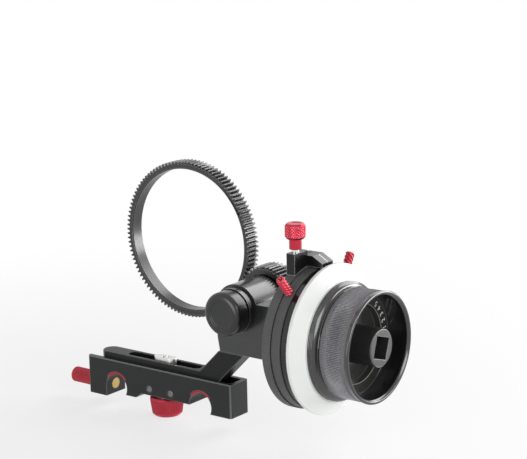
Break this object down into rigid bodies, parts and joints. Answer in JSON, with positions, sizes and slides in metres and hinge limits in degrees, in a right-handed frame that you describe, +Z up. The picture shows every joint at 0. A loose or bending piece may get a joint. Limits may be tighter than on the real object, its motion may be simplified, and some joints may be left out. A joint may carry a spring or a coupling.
{
  "type": "follow focus unit",
  "caption": "Follow focus for a camera on two support rods: slotted sliding arm, right-angle gearbox, hand wheel with white marking disk, settable stops, drive gear and lens gear ring.",
  "frame": {"origin": "midway between the two support rods' axes, at the middle of the base block's depth", "axes": "+X towards the hand wheel, -Y towards the front of the lens along the rods, +Z up"},
  "size_m": [0.2059, 0.0783, 0.1375],
  "materials": {
    "black_anodised": "matte anodised",
    "black_gloss": "gloss anodised",
    "textured_grey": "fine blasted anodised",
    "red_anodised": "satin red anodised",
    "steel": "turned",
    "brass": "machined",
    "white_disk": "matte white",
    "gear_black": "moulded",
    "pad_plastic": "plain",
    "black_screw": "black oxide"
  },
  "bodies": {
    "base": {"base_block": "black_anodised", "rod_liners": "red_anodised", "clamp_washer": "steel", "front_screws": "steel"},
    "clamp knob": {"clamp_knob": "red_anodised", "clamp_stud": "steel"},
    "clamp nut": {"clamp_nut": "steel"},
    "lock pad": {"lock_pad": "brass"},
    "lock knob": {"lock_knob": "red_anodised", "lock_stud": "steel"},
    "arm": {"support_arm": "black_anodised", "arm_screws": "steel", "gearbox_housing": "black_anodised", "rear_cover": "black_anodised", "cover_screws": "black_screw", "wheel_bearings": "steel", "drive_bushes": "brass", "counter_bushes": "brass", "index_flange": "textured_grey", "flange_screws": "black_screw", "stop_block": "black_anodised", "witness_line": "white_disk", "block_screw": "black_screw"},
    "drag screw": {"drag_screw_head": "red_anodised", "drag_screw_shank": "steel", "drag_pad": "pad_plastic"},
    "hand wheel": {"wheel_shaft": "steel", "shaft_clip": "steel", "wheel_bevel_gear": "brass", "wheel_hub": "black_anodised", "marking_disk": "white_disk", "hand_knob": "black_gloss", "crank_socket": "black_anodised", "knob_screws": "black_screw", "shaft_bolt": "steel"},
    "stop ring A": {"stop_ring_a": "textured_grey"},
    "stop screw A": {"stop_screw_a": "red_anodised"},
    "stop ring B": {"stop_ring_b": "black_gloss"},
    "stop screw B": {"stop_screw_b": "red_anodised"},
    "countershaft": {"counter_shaft": "steel", "counter_bevel_gear": "brass", "counter_spur_gear": "steel"},
    "drive shaft": {"drive_shaft": "steel", "drive_spur_gear": "steel", "drive_gear": "gear_black", "gear_retainer": "steel", "shaft_cap": "black_gloss"},
    "lens gear": {"lens_gear_ring": "gear_black"}
  },
  "joints": [
    {"name": "arm_slide", "type": "slide", "parent": "base", "child": "arm", "axis": [1, 0, 0], "range_m": [0, 0.0058]},
    {"name": "clamp_knob_turn", "type": "hinge", "parent": "base", "child": "clamp knob", "pos_m": [0, 0, -0.006], "axis": [0, 0, 1], "range_deg": [-720, 0]},
    {"name": "clamp_nut_lift", "type": "slide", "parent": "base", "child": "clamp nut", "axis": [0, 0, 1], "range_m": [0, 0.0015]},
    {"name": "lock_pad_slide", "type": "slide", "parent": "base", "child": "lock pad", "axis": [1, 0, 0], "range_m": [-0.0031, 0]},
    {"name": "lock_knob_turn", "type": "hinge", "parent": "lock pad", "child": "lock knob", "pos_m": [-0.055, 0, -0.001], "axis": [1, 0, 0], "range_deg": [-1080, 0]},
    {"name": "drag_screw_lift", "type": "slide", "parent": "arm", "child": "drag screw", "axis": [0, 0, 1], "range_m": [0, 0.003]},
    {"name": "wheel_turn", "type": "hinge", "parent": "arm", "child": "hand wheel", "pos_m": [0.12, 0.006, 0.0466], "axis": [1, 0, 0], "continuous": true},
    {"name": "stop_a_set", "type": "hinge", "parent": "arm", "child": "stop ring A", "pos_m": [0.09905, 0.006, 0.0466], "axis": [1, 0, 0], "range_deg": [-28, 307]},
    {"name": "stop_a_screw", "type": "slide", "parent": "stop ring A", "child": "stop screw A", "axis": [0, -0.6561, 0.7547], "range_m": [-0.0003, 0.003]},
    {"name": "stop_b_set", "type": "hinge", "parent": "arm", "child": "stop ring B", "pos_m": [0.1043, 0.006, 0.0466], "axis": [1, 0, 0], "range_deg": [-319, 16.5]},
    {"name": "stop_b_screw", "type": "slide", "parent": "stop ring B", "child": "stop screw B", "axis": [0, 0.4695, 0.8829], "range_m": [-0.0003, 0.003]},
    {"name": "countershaft_turn", "type": "hinge", "parent": "arm", "child": "countershaft", "pos_m": [0.0544, 0.006, 0.0466], "axis": [0, 1, 0], "continuous": true},
    {"name": "drive_turn", "type": "hinge", "parent": "arm", "child": "drive shaft", "pos_m": [0.0544, 0.006, 0.0566], "axis": [0, 1, 0], "continuous": true},
    {"name": "lens_gear_turn", "type": "hinge", "parent": "base", "child": "lens gear", "pos_m": [0, 0.025, 0.08191], "axis": [0, 1, 0], "continuous": true}
  ],
  "couplings": [
    {"joint": "clamp_nut_lift", "follows": "clamp_knob_turn", "m_per_rad": -0.00011141},
    {"joint": "lock_pad_slide", "follows": "lock_knob_turn", "m_per_rad": 0.00015915},
    {"joint": "countershaft_turn", "follows": "wheel_turn", "ratio": -1},
    {"joint": "drive_turn", "follows": "wheel_turn", "ratio": 1},
    {"joint": "lens_gear_turn", "follows": "wheel_turn", "ratio": -0.40187}
  ]
}
